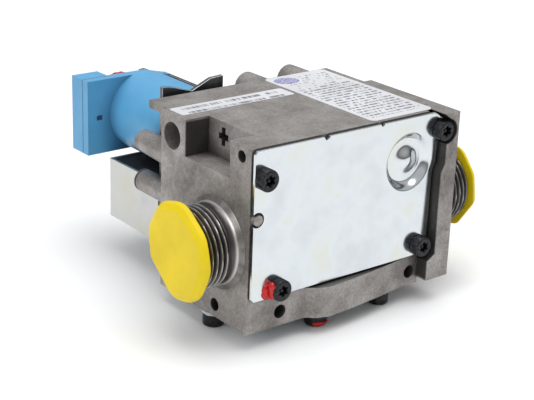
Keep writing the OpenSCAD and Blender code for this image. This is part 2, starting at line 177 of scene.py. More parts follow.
# %% Finish helpers
class Finish:
    """A material in the making: its shader, its own coordinates, and short ways to add nodes."""

    def __init__(self, name, roughness, metallic=0.0):
        self.material = bpy.data.materials.new(name)
        self.material.use_nodes = True
        self.tree = self.material.node_tree
        self.shader = self.tree.nodes["Principled BSDF"]
        self.shader.inputs["Roughness"].default_value = roughness
        self.shader.inputs["Metallic"].default_value = metallic
        self.place = self.add("ShaderNodeTexCoord").outputs["Object"]

    def add(self, kind, inputs=None, **settings):
        """A new node. A plain value sets an input, and another node's socket is linked to it."""
        node = self.tree.nodes.new(kind)
        for key, value in settings.items():
            setattr(node, key, value)
        for key, value in (inputs or {}).items():
            self.feed(value, node.inputs[key])
        return node

    def feed(self, value, socket):
        """Sets a socket to a value, or links it to another socket."""
        if isinstance(value, bpy.types.NodeSocket):
            self.tree.links.new(value, socket)
        else:
            socket.default_value = value

    def clouds(self, size, detail=3.0, rough=0.55, stretch=(1, 1, 1)):
        """Noise from 0 to 1 whose blobs are about size metres across, divided by stretch along each axis."""
        scaled = self.add("ShaderNodeMapping", {"Vector": self.place, "Scale": stretch})
        node = self.add("ShaderNodeTexNoise", {"Vector": scaled.outputs["Vector"], "Scale": 1 / size,
            "Detail": detail, "Roughness": rough})
        return node.outputs["Fac"]

    def shades(self, value, *stops):
        """A colour for each value: stops are (value, (red, green, blue)) in rising order."""
        node = self.add("ShaderNodeValToRGB", {"Fac": value})
        ramp = node.color_ramp
        while len(ramp.elements) < len(stops):
            ramp.elements.new(0.5)
        for element, (position, colour) in zip(ramp.elements, stops):
            element.position, element.color = position, (*colour, 1)
        return node.outputs["Color"]

    def span(self, value, low, high, start=0.0, end=1.0):
        """Carries the values from start to end over to low to high, and holds them at the ends."""
        node = self.add("ShaderNodeMapRange", {"Value": value, "From Min": start, "From Max": end,
            "To Min": low, "To Max": high})
        return node.outputs["Result"]

    def sum(self, one, other, kind="ADD"):
        """Arithmetic on two values."""
        return self.add("ShaderNodeMath", {0: one, 1: other}, operation=kind).outputs[0]

    def mixed(self, share, one, other, kind="MIX"):
        """Colour one with a share of colour other on it."""
        node = self.add("ShaderNodeMix", data_type="RGBA", blend_type=kind)
        self.feed(share, node.inputs["Factor"])
        self.feed(one, node.inputs["A"])
        self.feed(other, node.inputs["B"])
        return node.outputs["Result"]

    def inside(self, low, high, soft=0.15 * mm):
        """1 inside the box from corner low to corner high, 0 outside, with a soft edge."""
        split = self.add("ShaderNodeSeparateXYZ", {"Vector": self.place})
        share = None
        for axis, start, end in zip("XYZ", low, high):
            place = split.outputs[axis]
            edge = self.sum(self.span(place, 0, 1, start - soft, start + soft),
                self.span(place, 1, 0, end - soft, end + soft), "MULTIPLY")
            share = self.sum(share, edge, "MULTIPLY") if share else edge
        return share

    def ring(self, centre, radius, width, keep):
        """A thin line round centre in the plane that keep, a vector of ones and a zero, leaves."""
        offset = self.add("ShaderNodeVectorMath", {0: self.place, 1: centre}, operation="SUBTRACT")
        flat = self.add("ShaderNodeVectorMath", {0: offset.outputs[0], 1: keep}, operation="MULTIPLY")
        away = self.add("ShaderNodeVectorMath", {0: flat.outputs[0]}, operation="LENGTH").outputs["Value"]
        off = self.sum(self.sum(away, radius, "SUBTRACT"), 0.0, "ABSOLUTE")
        return self.span(off, 1, 0, 0.3 * width, width)

    def relief(self, value, depth, strength=1.0):
        """Lets value from 0 to 1 raise the surface by depth metres in the light's eyes."""
        node = self.add("ShaderNodeBump", {"Height": value, "Distance": depth, "Strength": strength})
        if self.shader.inputs["Normal"].is_linked:
            self.feed(self.shader.inputs["Normal"].links[0].from_socket, node.inputs["Normal"])
        self.feed(node.outputs["Normal"], self.shader.inputs["Normal"])

    def colour(self, value):
        """Sets the shader's colour."""
        self.feed(value if isinstance(value, bpy.types.NodeSocket) else (*value, 1), self.shader.inputs["Base Color"])

    def gloss(self, value):
        """Sets the shader's roughness from a socket."""
        self.feed(value, self.shader.inputs["Roughness"])


print("finish helpers ready")

# %% [markdown]
# ## Metal finishes
# Raw die-cast aluminium isn't shiny: the mould's skin is grey-brown and clouded, with a fine grain that
# lifts the surface a few hundredths of a millimetre. Painted shade darkens its corners, which ambient
# occlusion finds. Zinc plate is nearly a mirror, with faint clouds in its roughness.

# %% Cast, plated and turned metal
def cast_finish():
    """Raw die-cast aluminium: clouded grey-brown skin with fine grain and shallow dents, painted shade on the
    pocket's front wall and the flange's recess wall, painted shade in corners, and the round marks of two ejector
    pins."""
    f = Finish("cast_aluminium", 0.5, 0.55)
    stains = f.clouds(9 * mm, 4)
    grain = f.clouds(0.9 * mm, 3, 0.7)
    skin = f.shades(stains, (0.30, (0.215, 0.195, 0.182)), (0.52, (0.31, 0.289, 0.275)), (0.75, (0.40, 0.382, 0.37)))
    rust = f.span(f.clouds(5 * mm, 5, 0.7), 0.0, 0.3, 0.60, 0.72)
    burnt = f.sum(f.inside(at(0, 62.5, 40), at(8, 66, 46)), 0.55, "MULTIPLY")
    skin = f.mixed(f.sum(rust, burnt), skin, (0.26, 0.15, 0.085, 1))
    flecks = f.shades(grain, (0.35, (0.78, 0.77, 0.76)), (0.65, (1.12, 1.12, 1.12)))
    skin = f.mixed(1.0, skin, flecks, "MULTIPLY")
    # painted shade: ambient occlusion darkens the casting's corners and recesses towards near-black
    shelter = f.add("ShaderNodeAmbientOcclusion", {"Distance": 7 * mm}).outputs["AO"]
    cast_corner_shade_paint = f.span(shelter, 0.85, 0.0, 0.35, 0.85)
    # painted shade on the pocket's front wall and on the flange's recess wall
    painted_wall_shade = f.sum(f.inside(at(0.3, 33.3, 48.3), at(9.4, 34.6, 59.7)), f.inside(at(71.5, -4.8, 3), at(80.4, -0.2, 60)))
    # the stronger of the two painted shades mixes the skin towards the near-black shade colour
    dark = f.sum(cast_corner_shade_paint, f.sum(painted_wall_shade, f.span(stains, 1.0, 0.82), "MULTIPLY"), "MAXIMUM")
    f.colour(f.mixed(dark, skin, (0.030, 0.029, 0.027, 1)))
    f.gloss(f.span(stains, 0.58, 0.40, 0.3, 0.7))
    f.relief(grain, 0.05 * mm, 0.7)
    f.relief(f.clouds(5 * mm, 2), 0.25 * mm, 0.5)
    front = f.inside(at(72, -6, 3), at(82, -4.9, 60))
    for height in (38, 17):
        mark = f.ring(at(79, -5.1, height), 2.6 * mm, 0.3 * mm, (1, 0, 1))
        f.relief(f.sum(f.sum(mark, front, "MULTIPLY"), -1.0, "MULTIPLY"), 0.2 * mm)
    return f.material


def edge_wear_and_highlight_finish(name, light, dark):
    """Metal on an edge, lighter and smoother than the faces beside it: edge wear with a painted highlight."""
    f = Finish(name, 0.3, 0.9)
    wear = f.clouds(2.5 * mm, 4)
    f.colour(f.shades(wear, (0.35, dark), (0.62, light)))
    f.gloss(f.span(wear, 0.28, 0.45))
    return f.material


def zinc_finish(name="zinc_steel", tint=(0.66, 0.695, 0.72), rough=0.10):
    """Bright zinc plate: a clean light metal with faint cool and warm clouds and soft dents."""
    f = Finish(name, 0.2, 1.0)
    clouds = f.clouds(13 * mm, 4)
    warm = tuple(0.95 * c for c in (tint[0] * 1.04, tint[1] * 1.02, tint[2] * 0.93))
    f.colour(f.shades(clouds, (0.35, warm), (0.5, tint), (0.68, tuple(0.9 * c for c in tint))))
    f.gloss(f.span(f.clouds(3 * mm, 4), rough, rough + 0.12))
    f.relief(f.clouds(20 * mm, 1), 0.10 * mm, 0.3)
    return f.material


def turned_finish(name, light, dark, axis):
    """Turned metal: fine rings round the axis, made by squeezing clouds flat along it."""
    f = Finish(name, 0.32, 0.9)
    squeeze = tuple(9.0 if k == axis else 0.6 for k in range(3))
    rings = f.clouds(1.6 * mm, 3, 0.6, squeeze)
    f.colour(f.shades(rings, (0.35, dark), (0.65, light)))
    f.gloss(f.span(rings, 0.26, 0.46))
    f.relief(rings, 0.02 * mm, 0.5)
    return f.material


def thread_finish():
    """A machined thread: the colour follows the distance from the pipe's axis, with painted shade in the roots
    and a painted highlight on the crests, and settles to grey on the wider neck."""
    f = Finish("turned_thread", 0.34, 0.85)
    flat = f.add("ShaderNodeVectorMath", {0: f.place, 1: (0, 1, 1)}, operation="MULTIPLY")
    radius = f.add("ShaderNodeVectorMath", {0: flat.outputs[0]}, operation="LENGTH").outputs["Value"]
    # painted shade in the roots and a painted highlight on the crests, set by the distance from the axis
    height = f.span(radius, 0, 1, thread_radius - 1.05 * mm, thread_radius)
    thread_root_shade_crest_highlight = f.shades(height, (0.0, (0.03, 0.028, 0.027)), (0.6, (0.11, 0.105, 0.10)), (0.97, (0.52, 0.50, 0.48)))
    neck = f.shades(f.clouds(4 * mm, 4), (0.35, (0.13, 0.122, 0.117)), (0.65, (0.27, 0.258, 0.247)))
    f.colour(f.mixed(f.span(radius, 0, 1, thread_radius + 0.1 * mm, thread_radius + 0.4 * mm), thread_root_shade_crest_highlight, neck))
    f.gloss(f.span(f.clouds(1.5 * mm, 3), 0.26, 0.44))
    return f.material


def black_steel_finish():
    """Black oxide on a screw: nearly black, oily, a little lighter where it is worn."""
    f = Finish("black_steel", 0.35, 0.75)
    wear = f.clouds(0.8 * mm, 4, 0.6)
    f.colour(f.shades(wear, (0.40, (0.016, 0.016, 0.018)), (0.72, (0.055, 0.055, 0.06))))
    f.gloss(f.span(wear, 0.28, 0.5))
    f.relief(wear, 0.02 * mm, 0.5)
    return f.material


cast = cast_finish()
zinc = zinc_finish()
# the bevel strips of the casting and the bracket: edge wear with a painted highlight
cast_edge = edge_wear_and_highlight_finish("cast_edge_wear_and_highlight", (0.52, 0.50, 0.48), (0.27, 0.255, 0.245))
bright_edge = edge_wear_and_highlight_finish("cut_sheet_edge", (0.80, 0.81, 0.82), (0.50, 0.51, 0.52))
turned_thread = thread_finish()
stainless = turned_finish("stainless", (0.62, 0.62, 0.63), (0.45, 0.45, 0.46), 1)
brass = turned_finish("brass", (0.72, 0.53, 0.22), (0.50, 0.35, 0.13), 1)
black_steel = black_steel_finish()
print("metals:", cast.name, zinc.name, turned_thread.name, stainless.name, brass.name, black_steel.name)

# %% [markdown]
# ## Plastic, rubber and paper finishes
# Moulded plastic has one colour, so its life comes from a slight cloudiness, a satin roughness and the
# orange-peel of the mould. A little light sinks in, which a thin subsurface share gives.

# %% Moulded plastics, rubber, wire and lacquer
def moulded_finish(name, colour, roughness, depth=0.02, sink=0.0):
    """Moulded plastic of one colour with faint clouds, a satin sheen and a fine mould texture."""
    f = Finish(name, roughness)
    clouds = f.clouds(12 * mm, 3)
    darker = tuple(0.86 * c for c in colour)
    f.colour(f.shades(clouds, (0.3, darker), (0.7, colour)))
    f.gloss(f.span(f.clouds(2 * mm, 3), roughness - 0.05, roughness + 0.08))
    f.relief(f.clouds(0.7 * mm, 2), depth * mm, 0.4)
    if sink:
        f.shader.inputs["Subsurface Weight"].default_value = sink
        f.shader.inputs["Subsurface Radius"].default_value = (0.6, 0.5, 0.4)
        f.shader.inputs["Subsurface Scale"].default_value = 1.5 * mm
    return f.material


def wire_finish():
    """Enamelled copper wire laid side by side: fine ridges along the coil's length."""
    f = Finish("copper", 0.3, 0.9)
    wave = f.add("ShaderNodeTexWave", {"Vector": f.place, "Scale": 1 / (0.3 * mm) / 6.28, "Distortion": 0.2},
        bands_direction="Y")
    f.colour(f.shades(wave.outputs["Fac"], (0.2, (0.20, 0.07, 0.03)), (0.8, (0.68, 0.32, 0.15))))
    f.relief(wave.outputs["Fac"], 0.08 * mm)
    return f.material


def coil_finish():
    """The blue moulding: one colour with faint clouds and painted shade in its corners, with the line where its
    two halves meet on the connector block and the small gate mark beside it."""
    f = Finish("blue_plastic", 0.36)
    block_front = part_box("safety_coil")[1].y / mm - corner.y / mm - 10.4
    clouds = f.shades(f.clouds(12 * mm, 3), (0.3, (0.085, 0.305, 0.53)), (0.7, (0.10, 0.35, 0.60)))
    # painted shade: ambient occlusion darkens the moulding's corners
    shelter = f.add("ShaderNodeAmbientOcclusion", {"Distance": 9 * mm}).outputs["AO"]
    blue_corner_shade_paint = f.mixed(f.span(shelter, 0.8, 0.0, 0.3, 0.9), clouds, (0.012, 0.06, 0.14, 1))
    seam = f.inside(at(0, block_front + 3.2, 30), at(11.8, block_front + 3.6, 59), 0.08 * mm)
    gate = f.inside(at(5.0, block_front - 0.3, 43.2), at(7.2, block_front + 0.3, 44.9), 0.2 * mm)
    marks = f.sum(f.sum(seam, 0.7, "MULTIPLY"), f.sum(gate, 0.95, "MULTIPLY"), "MAXIMUM")
    f.colour(f.mixed(marks, blue_corner_shade_paint, (0.01, 0.04, 0.10, 1)))
    f.gloss(f.span(f.clouds(2 * mm, 3), 0.32, 0.46))
    f.relief(f.clouds(0.7 * mm, 2), 0.02 * mm, 0.4)
    f.relief(f.sum(marks, -1.0, "MULTIPLY"), 0.3 * mm)
    return f.material


yellow = moulded_finish("yellow_plastic", (0.80, 0.60, 0.004), 0.42, 0.03, 0.05)
yellow.node_tree.nodes["Principled BSDF"].inputs["Specular IOR Level"].default_value = 0.3
blue = coil_finish()
red = moulded_finish("red_plastic", (0.42, 0.02, 0.015), 0.4)
black_plastic = moulded_finish("black_plastic", (0.014, 0.014, 0.015), 0.45)
rubber = moulded_finish("rubber", (0.02, 0.02, 0.02), 0.75, 0.05)
lacquer = moulded_finish("red_lacquer", (0.50, 0.008, 0.006), 0.15)
copper = wire_finish()
print("plastics:", yellow.name, blue.name, red.name, black_plastic.name, rubber.name)

# %% [markdown]
# ## Helpers for surfaces
# A new surface is a grid of points worked out as whole arrays: rows run along a profile, columns run
# round an axis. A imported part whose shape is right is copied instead. The copy's loose triangles are
# merged into clean faces, and a narrow bevel rounds its edges so that they catch the light.

# %% Surface helpers
def ring_faces(rows, columns, closed_profile=False):
    """Four-cornered faces between the rows of a grid whose columns run all the way round."""
    last = rows if closed_profile else rows - 1
    row, column = np.meshgrid(np.arange(last), np.arange(columns), indexing="ij")
    after, beside = (row + 1) % rows, (column + 1) % columns
    return np.stack([row * columns + column, row * columns + beside, after * columns + beside,
        after * columns + column], -1).reshape(-1, 4)


def turned(axis, centre, along, radius):
    """Points of a surface round an axis: along and radius are grids of rows by columns in metres."""
    angle = np.linspace(0, 2 * np.pi, radius.shape[1], endpoint=False)[None, :]
    one, other = radius * np.cos(angle), radius * np.sin(angle)
    along = np.broadcast_to(along, radius.shape)
    order = {"x": (along, one, other), "y": (other, along, one), "z": (one, other, along)}[axis]
    return np.stack(order, -1).reshape(-1, 3) + np.array(centre)


def shaded(mesh, sharp=35):
    """Smooth shading that breaks at edges sharper than the given angle."""
    mesh.polygons.foreach_set("use_smooth", np.ones(len(mesh.polygons), bool))
    mesh.set_sharp_from_angle(angle=math.radians(sharp))


def outward(mesh):
    """Turns the faces of a closed mesh so that they all point out, after merging doubled points."""
    form = bmesh.new()
    form.from_mesh(mesh)
    bmesh.ops.remove_doubles(form, verts=form.verts, dist=1e-6)
    bmesh.ops.recalc_face_normals(form, faces=form.faces)
    form.to_mesh(mesh)
    form.free()


def piece(name, points, faces, finish, body, node, slot, sharp=35):
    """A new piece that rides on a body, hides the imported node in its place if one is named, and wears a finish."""
    mesh = bpy.data.meshes.new(name)
    mesh.from_pydata(np.asarray(points).tolist(), [], [tuple(f) for f in faces])
    outward(mesh)
    shaded(mesh, sharp)
    mesh.materials.append(finish)
    thing = bpy.data.objects.new(name, mesh)
    bpy.context.collection.objects.link(thing)
    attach(thing, body)
    if node:
        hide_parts(node)
    return thing


def merged_copy(node):
    """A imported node's points and clean faces: doubled points merged, flat triangles joined."""
    source = nodes[node].data
    form = bmesh.new()
    points = np.empty(len(source.vertices) * 3)
    source.vertices.foreach_get("co", points)
    corners = np.empty(len(source.loops), int)
    source.loops.foreach_get("vertex_index", corners)
    made = [form.verts.new(p) for p in points.reshape(-1, 3)]
    for a, b, c in corners.reshape(-1, 3):
        form.faces.new((made[a], made[b], made[c]))
    bmesh.ops.remove_doubles(form, verts=form.verts, dist=2e-6)
    bmesh.ops.dissolve_limit(form, angle_limit=math.radians(1), verts=form.verts, edges=form.edges)
    return form


def open_edges(thing):
    """How many edges of a piece have only one face, which a closed surface never has."""
    form = bmesh.new()
    form.from_mesh(thing.data)
    count = sum(1 for e in form.edges if len(e.link_faces) < 2)
    form.free()
    return count


def rounded(name, form, finish, body, node, width, steps=2, angle=40, edge_finish=None):
    """A piece from a merged copy, with a bevel of the given width in millimetres on its sharp edges. The
    bevel may wear a finish of its own."""
    mesh = bpy.data.meshes.new(name)
    form.to_mesh(mesh)
    form.free()
    shaded(mesh, 30)
    mesh.materials.append(finish)
    thing = bpy.data.objects.new(name, mesh)
    bpy.context.collection.objects.link(thing)
    if width:
        bevel = thing.modifiers.new("edges", "BEVEL")
        bevel.width, bevel.segments, bevel.limit_method = width * mm, steps, "ANGLE"
        bevel.angle_limit, bevel.harden_normals = math.radians(angle), True
        if edge_finish:
            mesh.materials.append(edge_finish)
            bevel.material = 1
    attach(thing, body)
    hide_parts(node)
    return thing


print("surface helpers ready")

# %% [markdown]
# ## The casting
# The imported casting has every wall, hole and pillar, but its edges are knife-sharp and its stubs are
# plain. The copy is cut off flush at both stubs, where turned threads will go, and its edges get a narrow
# bevel, which wears a brighter finish: edge wear with a painted highlight along the edges.

# %% Casting
form = merged_copy("valve_body")
for wall, side in ((corner.x - 0.02 * mm, -1), (outlet_wall + 0.02 * mm, 1)):
    everything = form.verts[:] + form.edges[:] + form.faces[:]
    cut = bmesh.ops.bisect_plane(form, geom=everything, plane_co=(wall, 0, 0), plane_no=(side, 0, 0),
        clear_outer=True)
    rim = [e for e in cut["geom_cut"] if isinstance(e, bmesh.types.BMEdge)]
    bmesh.ops.bridge_loops(form, edges=rim)
bmesh.ops.recalc_face_normals(form, faces=form.faces)
casting = rounded("casting", form, cast, "valve", "valve_body", 0.4, edge_finish=cast_edge)
print("casting:", len(casting.data.polygons), "faces before its bevel, open edges", open_edges(casting))

# %% [markdown]
# ## The threads
# A pipe thread is a ridge that climbs one pitch in each turn. As a surface it is simple: the radius is
# the crest radius less a rounded V that depends only on how far along the pitch a point lies, and that
# distance slides by one pitch as the point goes round. Behind the thread comes a smooth neck that
# flares into the wall.

# %% Threaded stubs
pitch, thread_depth, thread_end = 1.814 * mm, 1.162 * mm, 9.2 * mm
bore_radius = 10 * mm


def thread_stub(name, mouth, inward, widest):
    """A threaded stub from its mouth's x, running inward (1 or -1) along x to the wall.
    Radius = crest - depth * V(distance / pitch - turn), faded out at the mouth and at the neck. The neck
    flares no wider than widest, in mm."""
    columns = 144
    turn_share = np.arange(columns)[None, :] / columns
    along = np.linspace(0, thread_end, 74)[:, None]
    phase = (along / pitch - turn_share * inward) % 1.0
    groove = np.clip(1.2 * (1 - np.abs(2 * phase - 1)), 0, 1)
    fade = np.clip(along / (1.2 * mm), 0, 1)
    fade_in = np.clip((thread_end - along) / (0.5 * mm), 0, 1)
    lead = 1.1 * mm * (1 - fade)
    thread = thread_radius - lead - thread_depth * groove * fade * fade_in - 0.55 * mm * (1 - fade_in)
    neck_along = np.array([9.5, 10.2, 10.9, 11.5, 12.1, 12.6, 13.2]) * mm
    neck_radius = np.minimum([12.6, 12.6, 12.75, 13.1, 13.75, 14.7, 15.4], widest) * mm
    back_along = np.array([13.6, 13.6, 0.7, 0.0]) * mm
    back_radius = np.array([min(15.4, widest), bore_radius / mm, bore_radius / mm, bore_radius / mm + 0.7]) * mm
    rows = np.concatenate([np.broadcast_to(along, thread.shape),
        np.repeat(neck_along[:, None], columns, 1), np.repeat(back_along[:, None], columns, 1)])
    radii = np.concatenate([thread, np.repeat(neck_radius[:, None], columns, 1),
        np.repeat(back_radius[:, None], columns, 1)])
    points = turned("x", (mouth, 0, 0), rows * inward, radii)
    return piece(name, points, ring_faces(len(rows), columns, True), turned_thread, "valve", "valve_body",
        "cast_aluminium", 40)


inlet = thread_stub("inlet_thread", 0.0, 1, 15.4)
outlet = thread_stub("outlet_thread", outlet_mouth, -1, 14.1)
print("threads:", len(inlet.data.polygons) + len(outlet.data.polygons), "faces, open edges",
    open_edges(inlet) + open_edges(outlet))

# %% [markdown]
# ## Transit caps
# The yellow caps are soft mouldings pushed into the stubs. Their flange isn't truly round: flats are cut
# on it, where it was parted from its neighbours in the mould. Its radius at each angle is the disc's own,
# or the distance to the nearest flat if that is less, and the smaller of the two is taken softly.

# %% Yellow caps
def transit_cap(name, mouth, outside, body, node, flats):
    """A cap on a stub's mouth. outside is -1 or 1 along x. Each flat is (angle in degrees from +Y towards
    +Z, distance in mm). Rows run from the face's centre over the rim to the plug's inside."""
    columns = 144
    angle = np.linspace(0, 2 * np.pi, columns, endpoint=False)[None, :]
    disc, sharpness = 16.1, 40
    crowd = np.full(angle.shape, disc ** -sharpness)
    for turn, distance in flats:
        facing = np.clip(np.cos(angle - math.radians(turn)), 0.05, 1)
        crowd = crowd + (distance / facing) ** -sharpness
    rim = crowd ** (-1 / sharpness)
    along = np.array([2.7, 2.7, 2.8, 2.8, 2.55, 1.7, 0.7, 0.25, 0.1, 0.1, -6.6, -7.0, -7.0, 1.2, 1.25]) * mm
    inset = np.array([0, 0, 2.9, 2.5, 2.0, 0.6, 0.05, 0.1, 0.5, 0, 0, 0, 0, 0, 0])[:, None]
    plug = np.array([0, 7.0, 0, 0, 0, 0, 0, 0, 0, 9.95, 9.95, 9.6, 8.6, 8.6, 0])[:, None]
    radii = np.where(inset > 0, rim - inset, plug) * mm
    points = turned("x", (mouth, 0, 0), along[:, None] * outside, radii)
    return piece(name, points, ring_faces(len(along), columns), yellow, body, node, "yellow_plastic", 24)


inlet_cap = transit_cap("inlet_transit_cap", 0.0, -1, "inlet_plug", "inlet_cap",
    ((-52, 14.3), (-10, 15.5), (30, 15.6), (75, 15.9), (125, 15.3), (165, 15.7), (205, 15.6)))
outlet_cap = transit_cap("outlet_transit_cap", outlet_mouth, 1, "outlet_plug", "outlet_cap",
    ((-100, 14.5), (-55, 15.4), (-10, 15.5), (40, 15.8), (95, 15.4), (140, 15.0), (172, 14.6), (215, 14.2)))
print("caps:", len(inlet_cap.data.polygons) + len(outlet_cap.data.polygons), "faces, open edges",
    open_edges(inlet_cap) + open_edges(outlet_cap))

# %% [markdown]
# ## The front cover
# The cover is one millimetre of sheet steel, cut to its outline and pressed once to make the dish. The
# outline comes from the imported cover. Its coarse dish is taken out and pressed again: the rim of the
# hole is carried inwards in small steps, and each step sinks by the dish's formula, so any number of
# points round the rim works.

# %% Pressed dish
cover_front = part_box("front_cover")[0].y
dish_centre = at(63.4, 0, 45.2)
dish_edge, dish_drop, dish_nub = 10.1 * mm, 2.4 * mm, 0.7 * mm
sheet = 1.0 * mm


def smooth(value):
    """The soft step 3 t squared - 2 t cubed, held at 0 and 1."""
    t = min(max(value, 0.0), 1.0)
    return t * t * (3 - 2 * t)


def dish_depth(radius):
    """How deep the dish is at a radius: it rolls down from the edge, is flat in its ring, and rises to a
    nub in the middle."""
    outer = smooth((dish_edge - radius) / (3.0 * mm))
    inner = smooth((5.6 * mm - radius) / (5.2 * mm))
    return dish_drop * outer - (dish_drop - dish_nub) * inner


def flat_radius(point):
    """Distance from the dish's axis, which runs along Y."""
    return math.hypot(point.x - dish_centre.x, point.z - dish_centre.z)


form = merged_copy("front_cover")
form.faces.ensure_lookup_table()
old_dish = [f for f in form.faces if max(flat_radius(v.co) for v in f.verts) < dish_edge + 0.25 * mm]
bmesh.ops.delete(form, geom=old_dish, context="FACES")
loose = [v for v in form.verts if not v.link_faces]
bmesh.ops.delete(form, geom=loose, context="VERTS")
for base in (cover_front, cover_front + sheet):
    edge = [e for e in form.edges if e.is_boundary and all(abs(v.co.y - base) < 0.1 * mm for v in e.verts)]
    for radius in np.append(np.linspace(9.9, 0.5, 27), 0.12) * mm:
        made = bmesh.ops.extrude_edge_only(form, edges=edge)["geom"]
        edge = [e for e in made if isinstance(e, bmesh.types.BMEdge) and e.is_boundary]
        for v in {v for e in edge for v in e.verts}:
            spoke = Vector((v.co.x - dish_centre.x, 0, v.co.z - dish_centre.z)).normalized() * radius
            v.co = Vector((dish_centre.x + spoke.x, base + dish_depth(radius), dish_centre.z + spoke.z))
    bmesh.ops.contextual_create(form, geom=edge)
bmesh.ops.recalc_face_normals(form, faces=form.faces)
front_cover = rounded("pressed_front_cover", form, zinc, "valve", "front_cover", 0.22)
print("front cover:", len(front_cover.data.polygons), "faces, open edges", open_edges(front_cover))

# %% [markdown]
# ## Screws
# The screws have a cylinder head with a six-lobed socket and a pin in its middle, which only the right
# key fits. One closed profile runs from the shank's tip over the head into the socket and up the pin,
# and inside the socket its radius swings six times a turn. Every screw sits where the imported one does.

# %% Socket screws
def islands(node):
    """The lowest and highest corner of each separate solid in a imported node."""
    form = merged_copy(node)
    left, found = set(form.verts), []
    while left:
        group, edge = set(), [left.pop()]
        while edge:
            v = edge.pop()
            group.add(v)
            near = {e.other_vert(v) for e in v.link_edges} & left
            left -= near
            edge += near
        points = np.array([v.co for v in group])
        found.append((points.min(0), points.max(0)))
    form.free()
    return sorted(found, key=lambda pair: tuple(np.round(pair[0], 4)))


def screw_surface(tip, head_top, reach, columns=48):
    """Points of one screw from its tip to its head's top, with a head as high as reach, and its faces.
    The socket's radius is 1.65 + 0.3 cos 6 angle; the pin's is 0.6, all in mm."""
    toward = 1 if head_top > tip else -1
    length = abs(head_top - tip)
    head, socket_depth = 3.5, 1.9 * mm
    steps = [(0, 0), (0, 1.4), (0.5 * mm, 1.9)]
    turns = int((length - reach - 1 * mm) / (0.7 * mm))
    steps += [((0.6 + 0.7 * k / 2) * mm, 1.97 if k % 2 else 1.72) for k in range(2 * turns)]
    under = length - reach
    steps += [(under, 1.9), (under, head - 0.25), (under + 0.2 * mm, head), (length - 0.55 * mm, head),
        (length - 0.3 * mm, head - 0.09), (length - 0.1 * mm, head - 0.3), (length, head - 0.6), (length, 2.3)]
    along = np.array([s[0] for s in steps] + [length - 0.08 * mm] + [length - socket_depth] * 2
        + [length - 0.9 * mm, length - 0.75 * mm, length - 0.75 * mm])
    radius = np.array([s[1] for s in steps] + [1.68, 1.6, 0.62, 0.6, 0.45, 0])
    lobes = np.array([0] * (len(steps) - 1) + [0.12, 0.3, 0.3, 0, 0, 0, 0])
    angle = np.linspace(0, 2 * np.pi, columns, endpoint=False)[None, :]
    radii = (radius[:, None] + lobes[:, None] * np.cos(6 * angle)) * mm
    return along[:, None] * toward + tip, radii, ring_faces(len(along), columns)


def screw_set(name, node, axis, reach):
    """All the screws of a node as one piece, with their heads, as high as reach, at the low end."""
    points, faces, count = [], [], 0
    for low, high in islands(node):
        k = "xyz".index(axis)
        centre = (low + high) / 2
        centre[k] = 0
        along, radii, quads = screw_surface(high[k], low[k], reach)
        made = turned(axis, centre, along, radii)
        faces.append(quads + count)
        points.append(made)
        count += len(made)
    return piece(name, np.concatenate(points), np.concatenate(faces), black_steel, "valve", node, "black_steel", 32)


cover_head_height, bottom_head_height = 3.3 * mm, 4.4 * mm
cover_screws = screw_set("front_socket_screws", "cover_screws", "y", cover_head_height)
bottom_screws = screw_set("underside_socket_screws", "bottom_screws", "z", bottom_head_height)
print("screws:", len(islands("cover_screws")), "in front and", len(islands("bottom_screws")), "below, open edges",
    open_edges(cover_screws) + open_edges(bottom_screws))

# %% [markdown]
# ## Sealing lacquer
# A dab of red lacquer bridges one screw and its plate, so that nobody opens it unseen. Lacquer pulls
# itself round, so each dab is a flattened ball whose radius is roughened by a few slow waves, sunk into
# the metal behind it.

# %% Lacquer dabs
def dab(name, centre, radii, tilt=0.0):
    """A closed blob: an ellipsoid with the given radii in mm whose radius wavers by a few waves."""
    rows, columns = 22, 36
    polar = np.linspace(0, np.pi, rows)[:, None]
    angle = np.linspace(0, 2 * np.pi, columns, endpoint=False)[None, :]
    waver = 1 + 0.10 * np.sin(3 * angle + 1.3) * np.sin(polar) + 0.06 * np.cos(5 * angle) * np.sin(2 * polar)
    x = waver * np.sin(polar) * np.cos(angle) * radii[0]
    y = waver * np.cos(polar) * radii[1]
    z = waver * np.sin(polar) * np.sin(angle) * radii[2]
    turned_x, turned_z = x * math.cos(tilt) - z * math.sin(tilt), x * math.sin(tilt) + z * math.cos(tilt)
    points = np.stack([turned_x, np.broadcast_to(y, x.shape), turned_z], -1).reshape(-1, 3) * mm + np.array(centre)
    return piece(name, points, ring_faces(rows, columns), lacquer, "valve", None, "red_plastic", 60)


dab("lacquer_on_head", at(7.6, -2.6, 14.4), (1.5, 1.8, 2.8))
dab("lacquer_on_plate", at(6.9, -1.55, 13.9), (2.4, 0.7, 2.5), 0.5)
dab("lacquer_drip", at(5.7, -1.55, 12.7), (1.3, 0.5, 1.5), 0.6)
dab("lacquer_below", at(31.7, 2.4, -4.9), (3.2, 1.8, 1.1))
print("four dabs of lacquer")

# %% [markdown]
# ## Labels
# The two labels are thin film with rounded corners. Their print is a pattern in the finish: rows of
# dashes of uneven length stand for lines of text, and bars stand for a serial code, so nothing on them
# can be read.

# %% Printed film
def film_surface(low, high, radius, steps=8):
    """A flat slab with rounded corners: its outline is four quarter circles joined by straight lines."""
    quarter = np.linspace(0, np.pi / 2, steps)
    corners = ((high[0] - radius, high[1] - radius), (low[0] + radius, high[1] - radius),
        (low[0] + radius, low[1] + radius), (high[0] - radius, low[1] + radius))
    outline = np.concatenate([np.stack([cx + radius * np.cos(quarter + k * np.pi / 2),
        cy + radius * np.sin(quarter + k * np.pi / 2)], -1) for k, (cx, cy) in enumerate(corners)])
    count = len(outline)
    points = np.concatenate([np.column_stack([outline, np.full(count, z)]) for z in (low[2], high[2])])
    sides = [(k, (k + 1) % count, count + (k + 1) % count, count + k) for k in range(count)]
    return points, sides + [tuple(range(count - 1, -1, -1)), tuple(range(count, 2 * count))]


